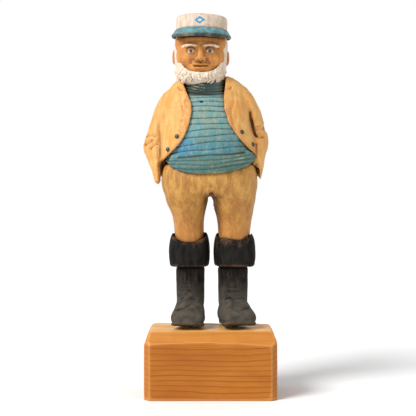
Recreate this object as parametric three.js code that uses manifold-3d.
// A painted, hand-carved sailor on a wooden block, about 300 mm tall.
//
// The figure is carved in sections that meet at the edges of the clothes and are glued over dowels:
// two boots, trousers, jersey, an open jacket, two sleeves with the hands out of sight in the pockets,
// a head with its beard, and a peaked cap. Two long wood screws hold the boots down on the block.
//
// Millimetres, +Z up. The origin is the centre of the block's underside, and the sailor faces -Y.

import * as THREE from 'three';
import { LoftGeometry } from 'three/addons/geometries/LoftGeometry.js';
import { mergeVertices } from 'three/addons/utils/BufferGeometryUtils.js';
import Module from 'manifold-3d';

const wasm = await Module();
wasm.setup();

// ---------------------------------------------------------------- driving dimensions

const GAP = 0.3; // glue line between two sections
const AROUND = 28; // points round a carved section
const ROUND = 16; // sides of a drilled hole or a dowel

const BLOCK = {
  width: 102.6,
  depth: 66,
  height: 52.8,
  corner: 4.4, // chamfer on the four upright edges
  edgeDrop: 8.4, // hand-cut chamfer round the top, downwards
  edgeFront: 6.3, // and inwards at the front and back
  edgeSide: 2.2, // and inwards at the two ends
};

const RIM_RADIUS = 20; // the scoop that lowers the front of each cuff's rim
const SOLE = { thick: 3.2, lip: 0.9 };
const LEG = { bottom: 114, y: 6.5, low: 98, high: 146, radius: 4 };
const SCREW = { top: 72, headZ: 9, headRadius: 4.2, shankRadius: 2.1, rootRadius: 1.6, pitch: 2.8 };
const CLEARANCE = 0.35; // radial, round a dowel or a screw

const WAIST = { x: -1, y: 2, low: 158, high: 200, radius: 5 };
const SHOULDER = { x: -2.6, y: 5, z: 222, radius: 2.6, start: 26, reach: 15 };
const HEAD = { x: -8.3, y: 0, chin: 245.5, tilt: THREE.MathUtils.degToRad(1.5) };
const NECK = { x: -4.4, y: 0.6, low: 230, high: 262, radius: 4.5 };
const CAP = { low: 281.2, high: 299, radius: 20.6 };
const CAP_DOWEL = { y: 2, low: 270, high: 290, radius: 3 };
const VISOR = { root: 288.6, thick: 3.5, side: 2.9, front: 9, drop: 5.6, spread: 1.85 };
const BUTTON = { radius: 1.75, dome: 1.1, shankRadius: 0.6, shankLength: 8, clearance: 0.25 };

// ---------------------------------------------------------------- materials

const paint = (color, roughness = 0.65) => new THREE.MeshStandardMaterial({ color, roughness });
const BARE_PINE = paint(0xc9803d, 0.55);
const TAN_PAINT = paint(0xe0ac62);
const OCHRE_PAINT = paint(0xc99a4e);
const BLUE_PAINT = paint(0x4d97ad);
const VISOR_PAINT = paint(0x4f9cbd);
const WHITE_PAINT = paint(0xefe9dc);
const CAP_PAINT = paint(0xeadbc8);
const SKIN_STAIN = paint(0xc98a4f);
const BLACK_PAINT = paint(0x2b2926, 0.7);
const BEECH = paint(0xd8b483, 0.6);
const DARK_STEEL = new THREE.MeshStandardMaterial({ color: 0x4a4a50, roughness: 0.45, metalness: 0.9 });
const ZINC_STEEL = new THREE.MeshStandardMaterial({ color: 0xa8a8a4, roughness: 0.4, metalness: 0.9 });

// ---------------------------------------------------------------- shape helpers

const signedPower = (value, power) => Math.sign(value) * Math.abs(value) ** power;

// A level oval at height z. wide is its half width; front and back are its depths from y. square is 2 for
// an ellipse and more for a boxier oval. grow widens it all round.
function oval({ x, y, z, wide, front, back, square }, grow) {
  return Array.from({ length: AROUND }, (_, i) => {
    const angle = (i / AROUND) * 2 * Math.PI;
    const across = signedPower(Math.cos(angle), 2 / square);
    const along = signedPower(Math.sin(angle), 2 / square);
    return new THREE.Vector3(
      x + (wide + grow) * across,
      y + ((along < 0 ? front : back) + grow) * along,
      z,
    );
  });
}

// An upright section of a foot, seen from the toe: flat below, rounded above.
function arch({ x, y, wide, low, high, square }, grow) {
  const middle = low + (high - low) * 0.4;
  return Array.from({ length: AROUND }, (_, i) => {
    const angle = (i / AROUND) * 2 * Math.PI;
    const up = Math.sin(angle);
    const across = signedPower(Math.cos(angle), 2 / (up < 0 ? 5 : square));
    const rise = signedPower(up, 2 / (up < 0 ? 5 : square));
    return new THREE.Vector3(
      x + (wide + grow) * across,
      y,
      middle + (up < 0 ? middle - low : high - middle) * rise,
    );
  });
}

// Skins a smooth body over a few stations, each an object of the same named sizes. rows is how many
// sections are cut between the first and the last.
function carve(section, stations, rows, grow = 0) {
  const names = Object.keys(stations[0]);
  const curve = new THREE.CubicInterpolant(
    stations.map((_, i) => i),
    stations.flatMap((station) => names.map((name) => station[name])),
    names.length,
  );
  const sections = [];
  for (let row = 0; row <= rows; row++) {
    const sizes = curve.evaluate((row / rows) * (stations.length - 1));
    sections.push(section(Object.fromEntries(names.map((name, i) => [name, sizes[i]])), grow));
  }
  const lift = new THREE.Vector3().subVectors(sections[rows][0], sections[0][0]);
  const alongAxis = Math.abs(lift.z) > Math.abs(lift.y) ? 'z' : 'y';
  const outwards = Math.sign(lift[alongAxis]) * grow;
  sections[0].forEach((point) => (point[alongAxis] -= outwards));
  sections[rows].forEach((point) => (point[alongAxis] += outwards));
  return new LoftGeometry(sections, { capStart: true, capEnd: true });
}

// Stations from the bottom up, and from the heel to the toe.
const level = (...rows) =>
  rows
    .map(([z, x, y, wide, front, back, square = 2.3]) => ({ z, x, y, wide, front, back, square }))
    .sort((a, b) => a.z - b.z);
const upright = (...rows) =>
  rows
    .map(([y, x, wide, low, high, square = 2.4]) => ({ y, x, wide, low, high, square }))
    .sort((a, b) => b.y - a.y);

// A round bar between two points.
function bar(from, to, radius, sides = ROUND) {
  const along = new THREE.Vector3().subVectors(to, from);
  const axis = new THREE.Vector3(0, 1, 0);
  const turn = new THREE.Quaternion().setFromUnitVectors(axis, along.clone().normalize());
  return new THREE.CylinderGeometry(radius, radius, along.length(), sides)
    .applyQuaternion(turn)
    .translate(...from.clone().addScaledVector(along, 0.5));
}

// A body turned about +Z, from [radius, z] pairs that start at the bottom.
function turned(profile, sides) {
  const rings = profile.map(([radius, z]) =>
    Array.from({ length: sides }, (_, i) => {
      const angle = (i / sides) * 2 * Math.PI;
      return new THREE.Vector3(radius * Math.cos(angle), radius * Math.sin(angle), z);
    }),
  );
  return new LoftGeometry(rings, { capStart: true, capEnd: true });
}

const vertical = (x, y, low, high, radius) =>
  bar(new THREE.Vector3(x, y, low), new THREE.Vector3(x, y, high), radius);

// An upright dowel and the slightly longer, wider hole it is glued into.
const dowelOf = ({ x, y, low, high, radius }) => vertical(x, y, low, high, radius);
const socketFor = ({ x, y, low, high, radius }) => vertical(x, y, low - 1, high + 1, radius + CLEARANCE);

// three.js geometry to a manifold-3d solid and back.
function solid(geometry) {
  const bare = new THREE.BufferGeometry().copy(geometry);
  bare.deleteAttribute('normal');
  bare.deleteAttribute('uv');
  const merged = mergeVertices(bare, 1e-4);
  return new wasm.Manifold(
    new wasm.Mesh({
      numProp: 3,
      vertProperties: merged.attributes.position.array,
      triVerts: new Uint32Array(merged.index.array),
    }),
  );
}

function geometryOf(made) {
  const { vertProperties, triVerts } = made.getMesh();
  const geometry = new THREE.BufferGeometry();
  geometry.setAttribute('position', new THREE.BufferAttribute(vertProperties, 3));
  geometry.setIndex(new THREE.BufferAttribute(triVerts, 1));
  geometry.computeVertexNormals();
  return geometry;
}

const join = (...geometries) => geometries.map(solid).reduce((whole, piece) => whole.add(piece));
const without = (made, cuts) => cuts.reduce((whole, cut) => whole.subtract(cut), made);

const sailor = new THREE.Group();

function part(name, geometry, material, parent = sailor) {
  const mesh = new THREE.Mesh(geometry, material);
  mesh.name = name;
  parent.add(mesh);
  return mesh;
}

// ---------------------------------------------------------------- block and its screws

function blockRing(z, insetSide, insetFront) {
  const across = BLOCK.width / 2 - insetSide;
  const along = BLOCK.depth / 2 - insetFront;
  const cut = BLOCK.corner - Math.min(insetSide, insetFront) * 0.5;
  const corners = [
    [across, along - cut],
    [across - cut, along],
    [cut - across, along],
    [-across, along - cut],
    [-across, cut - along],
    [cut - across, -along],
    [across - cut, -along],
    [across, cut - along],
  ];
  return corners.map(([x, y]) => new THREE.Vector3(x, y, z));
}

function blockGeometry() {
  const rings = [
    blockRing(0, 0, 0),
    blockRing(BLOCK.height - BLOCK.edgeDrop, 0, 0),
    blockRing(BLOCK.height, BLOCK.edgeSide, BLOCK.edgeFront),
  ];
  return new LoftGeometry(rings, { capStart: true, capEnd: true });
}

// A countersunk wood screw standing on its head, with ridges for its thread.
function screwGeometry() {
  const { top, headZ, headRadius, shankRadius, rootRadius, pitch } = SCREW;
  const headHeight = headRadius - shankRadius;
  const profile = [
    [headRadius, headZ],
    [headRadius, headZ + 0.6],
    [shankRadius, headZ + 0.6 + headHeight],
  ];
  for (let z = headZ + (top - headZ) * 0.45; z < top - 2 * pitch; z += pitch) {
    profile.push([rootRadius, z], [shankRadius, z + pitch * 0.4]);
  }
  profile.push([rootRadius, top - 1.2 * pitch], [0.3, top]);
  return turned(profile, 12);
}

// ---------------------------------------------------------------- boots

// Each boot is carved about its own ankle: x across, the toe towards -Y, z above the block. dip is how low
// the rim of the cuff falls at the front.
const BOOTS = [
  { name: 'boot_left', x: -16.7, turn: -5, cuffX: -0.7, cuff: 16.1, calf: 11.2, dip: 120.4 },
  { name: 'boot_right', x: 19.6, turn: 13, cuffX: 1.1, cuff: 16.1, calf: 11.6, dip: 122.8 },
];

function bootGeometry({ cuffX, cuff, calf }) {
  const foot = carve(
    arch,
    upright(
      [22.5, 0, 5.5, 3, 16],
      [21, 0, 8.6, 1.4, 20],
      [14, 0, 10.6, 1, 24],
      [3, 0, 11, 1, 26],
      [-5, 0, 12, 1, 22.5],
      [-11, 0, 12.9, 1.4, 17.5],
      [-16, 0, 12.6, 2, 14.6],
      [-19, 0, 10.6, 2.8, 12.6],
      [-20.3, 0, 7.5, 3.8, 10.4],
    ),
    13,
  );
  const sole = carve(
    arch,
    upright(
      [23, 0, 6, 0.6, SOLE.thick],
      [21, 0, 9, 0, SOLE.thick, 5],
      [12, 0, 10.6 + SOLE.lip * 0.4, 0, SOLE.thick, 5],
      [2, 0, 10.8 + SOLE.lip * 0.4, 0, SOLE.thick, 5],
      [-8, 0, 12.6 + SOLE.lip, 0.1, SOLE.thick + 0.1, 5],
      [-15, 0, 13 + SOLE.lip, 0.8, SOLE.thick + 0.7, 5],
      [-19.5, 0, 10.8 + SOLE.lip, 1.6, SOLE.thick + 1.5, 5],
      [-21.4, 0, 6.8, 2.6, SOLE.thick + 2, 5],
    ),
    9,
  );
  const shaft = carve(
    oval,
    level(
      [12, 0, 7, calf * 0.9, 11, 13],
      [20, 0, 7, calf, 12.2, 13.4],
      [32, 0, 7, calf + 0.1, 12.3, 12.6],
      [50, 0, 7, calf + 0.4, 12.8, 13],
      [62, 0, 7, calf + 0.8, 13, 13],
    ),
    5,
  );
  const cuffBody = carve(
    oval,
    level(
      [46.8, cuffX, 6.5, cuff - 2.6, 15.4, 15.4, 2.7],
      [48.2, cuffX, 6.5, cuff - 0.7, 17.2, 17, 2.7],
      [56.6, cuffX, 6.5, cuff + 0.3, 18, 17.8, 2.7],
      [66, cuffX, 6.3, cuff - 0.2, 17.2, 17.4, 2.7],
      [72, cuffX * 0.8, 6, cuff - 1.4, 15.6, 16.2, 2.6],
      [74.8, cuffX * 0.6, 5.6, cuff - 3, 13.8, 14.8, 2.5],
    ),
    9,
  );
  const waistOfSole = new THREE.BoxGeometry(40, 5, 2.2).translate(0, 6.5, 0);
  return geometryOf(join(foot, sole, shaft, cuffBody).subtract(solid(waistOfSole)));
}

// ---------------------------------------------------------------- trousers

function trousersSolid(grow = 0) {
  const hips = carve(
    oval,
    level(
      [182.4, -0.5, 0, 35.6, 21.6, 23, 2.5],
      [177, -0.7, 0, 37.9, 25.2, 25.5, 2.5],
      [168, -0.9, 0, 38.6, 26.8, 27.2, 2.5],
      [161, -0.6, 0, 37.8, 26, 26.8, 2.5],
      [156.4, -0.4, 0, 35.4, 23, 24.5, 2.5],
    ),
    7,
    grow,
  );
  const legLeft = carve(
    oval,
    level(
      [168, -19, 1.5, 18, 24, 24, 2.4],
      [157, -19.2, 2, 17.6, 24.4, 24.4, 2.4],
      [150, -18.6, 3.2, 16, 22.6, 22.6, 2.4],
      [143, -17.6, 4.4, 13.6, 19.6, 19.4, 2.4],
      [136, -17.3, 5, 12.2, 16.4, 16.4, 2.4],
      [125, -17, 5.2, 11.8, 14.4, 14.6, 2.4],
      [LEG.bottom, -17, 5.6, 11, 13.4, 13.6, 2.4],
    ),
    9,
    grow,
  );
  const legRight = carve(
    oval,
    level(
      [168, 18.2, 1.5, 18.4, 24, 24, 2.4],
      [157, 18.5, 2, 18.2, 24.4, 24.4, 2.4],
      [150, 18.4, 3.2, 17, 22.8, 22.6, 2.4],
      [143, 18.9, 4.4, 15.1, 20.4, 19.8, 2.4],
      [136, 19.1, 5, 13.9, 17, 17, 2.4],
      [125, 18.9, 5.2, 12.8, 14.6, 15, 2.4],
      [LEG.bottom, 18.8, 5.6, 11.6, 13.6, 13.8, 2.4],
    ),
    9,
    grow,
  );
  return join(hips, legLeft, legRight);
}

// ---------------------------------------------------------------- jersey and jacket

// The outside of the buttoned-back jacket, without its sleeves.
const COAT = level(
  [158, -1.2, 0, 39.6, 26.5, 29],
  [170, -1.4, 0, 40.4, 28.4, 29],
  [184, -1.6, 0, 40.4, 29, 28.4],
  [200, -2, 0, 38.8, 28, 27.4],
  [216, -2.6, 0.4, 36.4, 25.6, 26.2],
  [229, -3, 0.8, 34.6, 22.6, 24.6],
  [238, -3.2, 1.2, 32.4, 19.2, 22.8],
  [245, -2.2, 1.6, 28.6, 16.6, 20.6],
  [249.6, -3, 2, 23.4, 13.6, 18],
  [252.5, -4, 2.2, 18.4, 10.6, 15.4],
);

const JERSEY = level(
  [183.4, -0.7, 0, 34.8, 26.2, 23, 2.3],
  [192, -1.1, 0, 35.2, 27.2, 23, 2.3],
  [202, -1.8, 0, 33.6, 26, 22.6, 2.3],
  [216, -2.6, 0.2, 31, 23.2, 21.4, 2.3],
  [229, -3.2, 0.4, 27.4, 19.6, 19.8, 2.2],
  [236, -3.8, 0.6, 21, 16.6, 17.4, 2.1],
  [240, -4.4, 0.8, 15.4, 14.6, 14.8, 2],
);

const ROLL_NECK = level(
  [233.6, -4.4, 0.6, 13.6, 14.4, 13.4, 2],
  [235.6, -4.4, 0.6, 15.8, 17, 15.6, 2],
  [240, -4.5, 0.6, 16.6, 17.8, 16.4, 2],
  [245, -4.9, 0.6, 16, 16.8, 15.8, 2],
  [248.5, -5.4, 0.6, 14.2, 14.6, 14, 2],
);

// What the jacket is hollowed to between the jersey and the top of the trousers.
const WAIST_HOLLOW = level([176, -0.6, 0, 35.4, 23, 23.2, 2.4], [188, -0.8, 0, 35, 24, 23.2, 2.4]);

// The thick rolled hem runs round the front of the jersey and thins out under the jacket on each side.
function hemGeometry(grow = 0) {
  const reach = 1.62; // radians each way from the front
  const rows = 18;
  const sections = [];
  for (let row = 0; row <= rows; row++) {
    const turn = reach * ((2 * row) / rows - 1);
    const middle = Math.cos(turn);
    const end = Math.sqrt(Math.max(0.02, 1 - (turn / reach) ** 6));
    const half = (4 + 3.2 * middle ** 2) * end + grow;
    const thick = 3.4 * end + grow;
    const z = 184.4 - 4.2 * middle ** 2 - 2.6 * Math.sin(turn);
    const out = new THREE.Vector3(-Math.sin(turn), -middle, 0);
    const centre = new THREE.Vector3(
      0.4 + 33 * signedPower(out.x, 0.78),
      26.4 * signedPower(out.y, 0.78),
      z,
    );
    sections.push(
      Array.from({ length: 12 }, (_, i) => {
        const angle = (i / 12) * 2 * Math.PI;
        return centre
          .clone()
          .addScaledVector(out, thick * Math.cos(angle))
          .add(new THREE.Vector3(0, 0, half * Math.sin(angle)));
      }),
    );
  }
  return new LoftGeometry(sections, { capStart: true, capEnd: true });
}

const jerseySolid = (grow = 0) =>
  solid(carve(oval, JERSEY, 10, grow))
    .add(solid(carve(oval, ROLL_NECK, 6, grow)))
    .add(solid(hemGeometry(grow)));

// The V between the fronts of the jacket, seen from the front, from the left hem over the neck to the right.
function openingGeometry() {
  const leftEdge = [
    [-60, 150],
    [-47, 175],
    [-38.3, 183.6],
    [-27.6, 193],
    [-21.3, 200.6],
    [-17.2, 210],
    [-14.6, 221.7],
    [-15.4, 231],
    [-22, 245],
    [-24, 262],
  ];
  const rightEdge = [
    [13.4, 262],
    [12, 249],
    [10.4, 235],
    [10.8, 223.7],
    [15.6, 210],
    [24.6, 198.3],
    [32, 191.5],
    [39.1, 185.4],
    [48, 177],
    [60, 150],
  ];
  const points = (edge) => new THREE.SplineCurve(edge.map(([x, z]) => new THREE.Vector2(x, z))).getPoints(12);
  const outline = new THREE.Shape([...points(leftEdge), ...points(rightEdge)]);
  return new THREE.ExtrudeGeometry(outline, { depth: 60, bevelEnabled: false }).rotateX(Math.PI / 2);
}

// Everything below the jacket's hem, which falls from the front to the back.
const belowHem = () =>
  new THREE.BoxGeometry(140, 120, 40)
    .translate(0, 0, -20)
    .rotateX(THREE.MathUtils.degToRad(-15))
    .translate(0, -12, 179);

const SLEEVES = [
  {
    name: 'sleeve_left',
    stations: level(
      [241, -28, 3.5, 5, 7, 8, 2.2],
      [237.4, -30, 3.5, 9.2, 11, 12, 2.2],
      [226, -34.6, 4, 10.4, 12.6, 13.4, 2.2],
      [214, -38.6, 5, 10.2, 12.4, 13, 2.2],
      [203, -42.2, 5.6, 10.6, 12.4, 12.6, 2.2],
      [195, -43.2, 5.4, 10.9, 12.4, 12, 2.2],
      [186, -41.2, 3.6, 9.6, 11.8, 11.4, 2.2],
      [175, -37.8, 0.6, 8.2, 11, 11, 2.2],
      [164.5, -34.6, -2, 6.4, 9, 9, 2.2],
    ),
  },
  {
    name: 'sleeve_right',
    stations: level(
      [244.6, 19, 3, 5, 7, 8, 2.2],
      [241.6, 21.6, 3, 9.4, 11, 11, 2.2],
      [230, 27, 4, 10.8, 13, 13.4, 2.2],
      [217, 31.8, 5, 10.8, 12.6, 13, 2.2],
      [206, 35.2, 5.6, 11, 12.6, 12.6, 2.2],
      [197, 35.9, 5.4, 10.6, 12.8, 12, 2.2],
      [187, 34, 3.4, 9.8, 12.6, 11.6, 2.2],
      [175, 32.8, 0.4, 8.8, 11.6, 11, 2.2],
      [164, 31.6, -2, 6.2, 9, 9, 2.2],
    ),
  },
];

// ---------------------------------------------------------------- head, beard and cap

const SKULL = level(
  [243.6, 0, 1, 8.5, 8, 10.5, 2],
  [247, 0, 0, 13.2, 14, 14.6, 2.1],
  [252, 0, 0, 16.6, 17, 17.4, 2.2],
  [260, 0, 0, 18.3, 18.4, 18.8, 2.3],
  [268, 0, 0, 18.9, 18.8, 19.4, 2.3],
  [276, 0, 0, 19, 18.7, 19.6, 2.2],
  [280.8, 0, 0, 18.9, 18.4, 19.4, 2.2],
);

const HAIR = level(
  [242.6, 0, 0.5, 9.5, 12, 11.5, 2],
  [246.4, 0, 0, 15, 17.4, 15.8, 2.1],
  [252, 0, 0, 18.6, 20.4, 18.8, 2.2],
  [260, 0, 0, 20.6, 20.6, 20.4, 2.3],
  [268, 0, 0, 21.2, 20.4, 20.8, 2.3],
  [276, 0, 0, 21.3, 20.2, 20.8, 2.2],
  [280.8, 0, 0, 21, 19.8, 20.6, 2.2],
);

function nose(grow = 0) {
  const sections = [
    [260.4, 2.4, 19.4],
    [261.6, 3.4, 22.2],
    [264.5, 2.8, 22.6],
    [270, 1.8, 20.2],
    [275, 1.5, 18.2],
  ].map(([z, wide, out]) =>
    [
      [wide, -16],
      [-wide, -16],
      [-wide, -out + 1.6],
      [-wide * 0.5, -out],
      [wide * 0.5, -out],
      [wide, -out + 1.6],
    ].map(([x, y]) => new THREE.Vector3(x * (1 + grow / wide), y - grow, z)),
  );
  return new LoftGeometry(sections, { capStart: true, capEnd: true });
}

const ear = (side, grow = 0) =>
  new THREE.SphereGeometry(1, 14, 10)
    .scale(2.6 + grow, 4.4 + grow, 6.6 + grow)
    .translate(side * 20.6, 1.5, 267.4);

// The bare face: what shows between the sideburns, the cap and the top of the beard.
function faceWindow() {
  const outline = new THREE.Shape();
  outline.moveTo(-17.2, 286);
  outline.bezierCurveTo(-17.4, 266, -17, 258, -9, 254.4);
  outline.quadraticCurveTo(0, 251.4, 9, 254.4);
  outline.bezierCurveTo(17, 258, 17.4, 266, 17.2, 286);
  return new THREE.ExtrudeGeometry(outline, { depth: 40, bevelEnabled: false, curveSegments: 10 })
    .rotateX(Math.PI / 2);
}

function visorGeometry() {
  const rows = 20;
  const sections = [];
  for (let row = 0; row <= rows; row++) {
    const turn = VISOR.spread * (1 - (2 * row) / rows);
    const ahead = Math.max(0, Math.cos(turn));
    const end = Math.sqrt(Math.max(0.12, 1 - (turn / VISOR.spread) ** 8));
    const out = new THREE.Vector3(Math.sin(turn), -Math.cos(turn), 0);
    const rootRadius = CAP.radius + GAP;
    const edgeRadius = rootRadius + (VISOR.side + (VISOR.front - VISOR.side) * ahead ** 2) * end;
    const edgeTop = VISOR.root - 3.4 - (VISOR.drop - 3.4) * ahead;
    const thick = VISOR.thick * (0.75 + 0.25 * ahead);
    const profile = [
      [rootRadius, VISOR.root - thick - 1.2],
      [edgeRadius - 0.6 * end, edgeTop - thick],
      [edgeRadius, edgeTop - thick * 0.6],
      [edgeRadius - 0.2 * end, edgeTop - 0.5],
      [edgeRadius - 0.9 * end, edgeTop],
      [rootRadius, VISOR.root],
    ];
    sections.push(profile.map(([radius, z]) => new THREE.Vector3(out.x * radius, out.y * radius, z)));
  }
  return new LoftGeometry(sections, { capStart: true, capEnd: true });
}

function crownGeometry() {
  const { low, high, radius } = CAP;
  const rings = level(
    [low, 0, 0, radius - 0.3, radius, radius, 2.1],
    [low + 6, 0, 0, radius - 0.2, radius - 0.1, radius - 0.1, 2.1],
    [low + 12, 0, 0, radius - 0.1, radius - 0.2, radius - 0.1, 2.1],
    [high - 2, 0, 0, radius - 0.1, radius - 0.3, radius - 0.2, 2.1],
    [high - 0.6, 0, 0, radius - 0.7, radius - 0.9, radius - 0.8, 2.1],
    [high, 0, 0, radius - 2.2, radius - 2.4, radius - 2.3, 2.1],
  );
  return carve(oval, rings, 10);
}

// ---------------------------------------------------------------- assembly: block, boots, trousers

const legs = BOOTS.map(({ x }) => ({ ...LEG, x }));
const headTop = SCREW.headZ + SCREW.headRadius - SCREW.shankRadius + 1;
const holes = legs.map(({ x, y }) =>
  join(
    vertical(x, y, -1, BLOCK.height + 1, SCREW.shankRadius + CLEARANCE),
    vertical(x, y, -1, headTop, SCREW.headRadius + CLEARANCE),
  ),
);
part('base_block', geometryOf(without(solid(blockGeometry()), holes)), BARE_PINE);

legs.forEach((leg, i) => {
  const screw = part(['base_screw_left', 'base_screw_right'][i], screwGeometry(), ZINC_STEEL);
  screw.position.set(leg.x, leg.y, 0);
  part(['leg_dowel_left', 'leg_dowel_right'][i], dowelOf(leg), BEECH);
});

const legSockets = legs.map((leg) => solid(socketFor(leg)));
const fatTrousers = trousersSolid(GAP + 0.1);

BOOTS.forEach((boot, i) => {
  const place = new THREE.Matrix4()
    .makeRotationZ(THREE.MathUtils.degToRad(boot.turn))
    .setPosition(boot.x, 0, BLOCK.height + GAP);
  const screwHole = vertical(
    legs[i].x,
    legs[i].y,
    BLOCK.height - 1,
    SCREW.top + 1,
    SCREW.shankRadius + CLEARANCE,
  );
  const rimDip = bar(
    new THREE.Vector3(boot.x, -40, boot.dip + RIM_RADIUS),
    new THREE.Vector3(boot.x, 2, boot.dip + RIM_RADIUS),
    RIM_RADIUS,
    40,
  );
  const made = solid(bootGeometry(boot).applyMatrix4(place))
    .subtract(solid(rimDip))
    .subtract(fatTrousers)
    .subtract(legSockets[i])
    .subtract(solid(screwHole));
  part(boot.name, geometryOf(made), BLACK_PAINT);
});

const waistSocket = solid(socketFor(WAIST));
const trousers = without(trousersSolid(), [...legSockets, waistSocket]);
part('trousers', geometryOf(trousers), OCHRE_PAINT);
part('waist_dowel', dowelOf(WAIST), BEECH);

// ---------------------------------------------------------------- assembly: head

const head = new THREE.Group();
head.position.set(HEAD.x, HEAD.y, HEAD.chin);
head.rotation.y = HEAD.tilt;
sailor.add(head);
head.updateMatrixWorld(true);
const toHead = new THREE.Matrix4().makeTranslation(0, 0, -HEAD.chin);
const headPlace = head.matrixWorld.clone().multiply(toHead);
const headPart = (name, made, material) => part(name, geometryOf(made).applyMatrix4(toHead), material, head);

const capDowel = { ...CAP_DOWEL, x: 0 };
const capSocket = solid(socketFor(capDowel));
const neckSocket = solid(socketFor(NECK).applyMatrix4(headPlace.clone().invert()));
const face = without(join(carve(oval, SKULL, 10), nose(), ear(-1), ear(1)), [capSocket, neckSocket]);
headPart('head', face, SKIN_STAIN);

const hair = solid(carve(oval, HAIR, 10))
  .subtract(join(carve(oval, SKULL, 10, GAP), nose(GAP), ear(-1, GAP), ear(1, GAP)))
  .subtract(solid(faceWindow()))
  .subtract(neckSocket);
headPart('beard_and_hair', hair, WHITE_PAINT);

headPart('cap_crown', solid(crownGeometry()).subtract(capSocket), CAP_PAINT);
headPart('cap_visor', solid(visorGeometry()), VISOR_PAINT);
headPart('cap_dowel', solid(dowelOf(capDowel)), BEECH);

const fatHead = solid(carve(oval, HAIR, 10, GAP + 0.1).applyMatrix4(headPlace));

// ---------------------------------------------------------------- assembly: jersey, jacket and sleeves

part('neck_dowel', dowelOf(NECK), BEECH);

const coat = solid(carve(oval, COAT, 14));
const fatCoat = solid(carve(oval, COAT, 14, GAP));

const shoulderPegs = [-1, 1].map((side) => {
  const inner = new THREE.Vector3(SHOULDER.x + side * SHOULDER.start, SHOULDER.y, SHOULDER.z);
  const outer = inner.clone().add(new THREE.Vector3(side * SHOULDER.reach, 0, 0));
  const peg = bar(inner, outer, SHOULDER.radius, 14);
  const socket = bar(
    inner.clone().add(new THREE.Vector3(-side * 0.5, 0, 0)),
    outer.clone().add(new THREE.Vector3(side * 0.5, 0, 0)),
    SHOULDER.radius + CLEARANCE,
    14,
  );
  part(side < 0 ? 'sleeve_dowel_left' : 'sleeve_dowel_right', peg, BEECH);
  return solid(socket);
});

const sleeveSolids = SLEEVES.map(({ stations }) => solid(carve(oval, stations, 12)));

// Four round-headed brads stand in for buttons, two on each front, square to the jacket's surface.
const coatMesh = new THREE.Mesh(geometryOf(coat.add(sleeveSolids[0]).add(sleeveSolids[1])));
const buttonSpots = [
  ['button_left_upper', -26, 202.6],
  ['button_left_lower', -33.2, 192.8],
  ['button_right_upper', 24.4, 206.2],
  ['button_right_lower', 33.2, 197],
];

function buttonGeometry(grow = 0) {
  const { radius, dome, shankRadius, shankLength } = BUTTON;
  const profile = [
    [0.1 + grow, -shankLength - grow],
    [shankRadius + grow, 1 - shankLength],
    [shankRadius + grow, -grow],
    [radius + grow, -grow],
  ];
  for (let step = 1; step <= 4; step++) {
    const angle = (step / 4.5) * (Math.PI / 2);
    profile.push([(radius + grow) * Math.cos(angle), (dome + grow) * Math.sin(angle)]);
  }
  return turned(profile, 14);
}

const buttonHoles = buttonSpots.map(([name, x, z]) => {
  const ray = new THREE.Raycaster(new THREE.Vector3(x, -100, z), new THREE.Vector3(0, 1, 0));
  const [hit] = ray.intersectObject(coatMesh);
  const outwards = hit.face.normal.clone().normalize();
  const button = part(name, buttonGeometry(), DARK_STEEL);
  button.position.copy(hit.point).addScaledVector(outwards, GAP * 0.5);
  button.quaternion.setFromUnitVectors(new THREE.Vector3(0, 0, 1), outwards);
  button.updateMatrixWorld(true);
  return solid(buttonGeometry(BUTTON.clearance).applyMatrix4(button.matrixWorld));
});

const drilled = (made, cuts) => geometryOf(without(made, [...buttonHoles, ...shoulderPegs, ...cuts]));

const jerseyCuts = [fatTrousers, fatHead, waistSocket, solid(socketFor(NECK))];
part('jersey', drilled(jerseySolid(), jerseyCuts), BLUE_PAINT);

const jacketCuts = [
  jerseySolid(GAP),
  solid(carve(oval, WAIST_HOLLOW, 2, GAP)),
  fatTrousers,
  fatHead,
  solid(openingGeometry()),
  solid(belowHem()),
];
part('jacket', drilled(coat, jacketCuts), TAN_PAINT);

SLEEVES.forEach(({ name }, i) => part(name, drilled(sleeveSolids[i], [fatCoat, fatTrousers]), TAN_PAINT));

export default sailor;
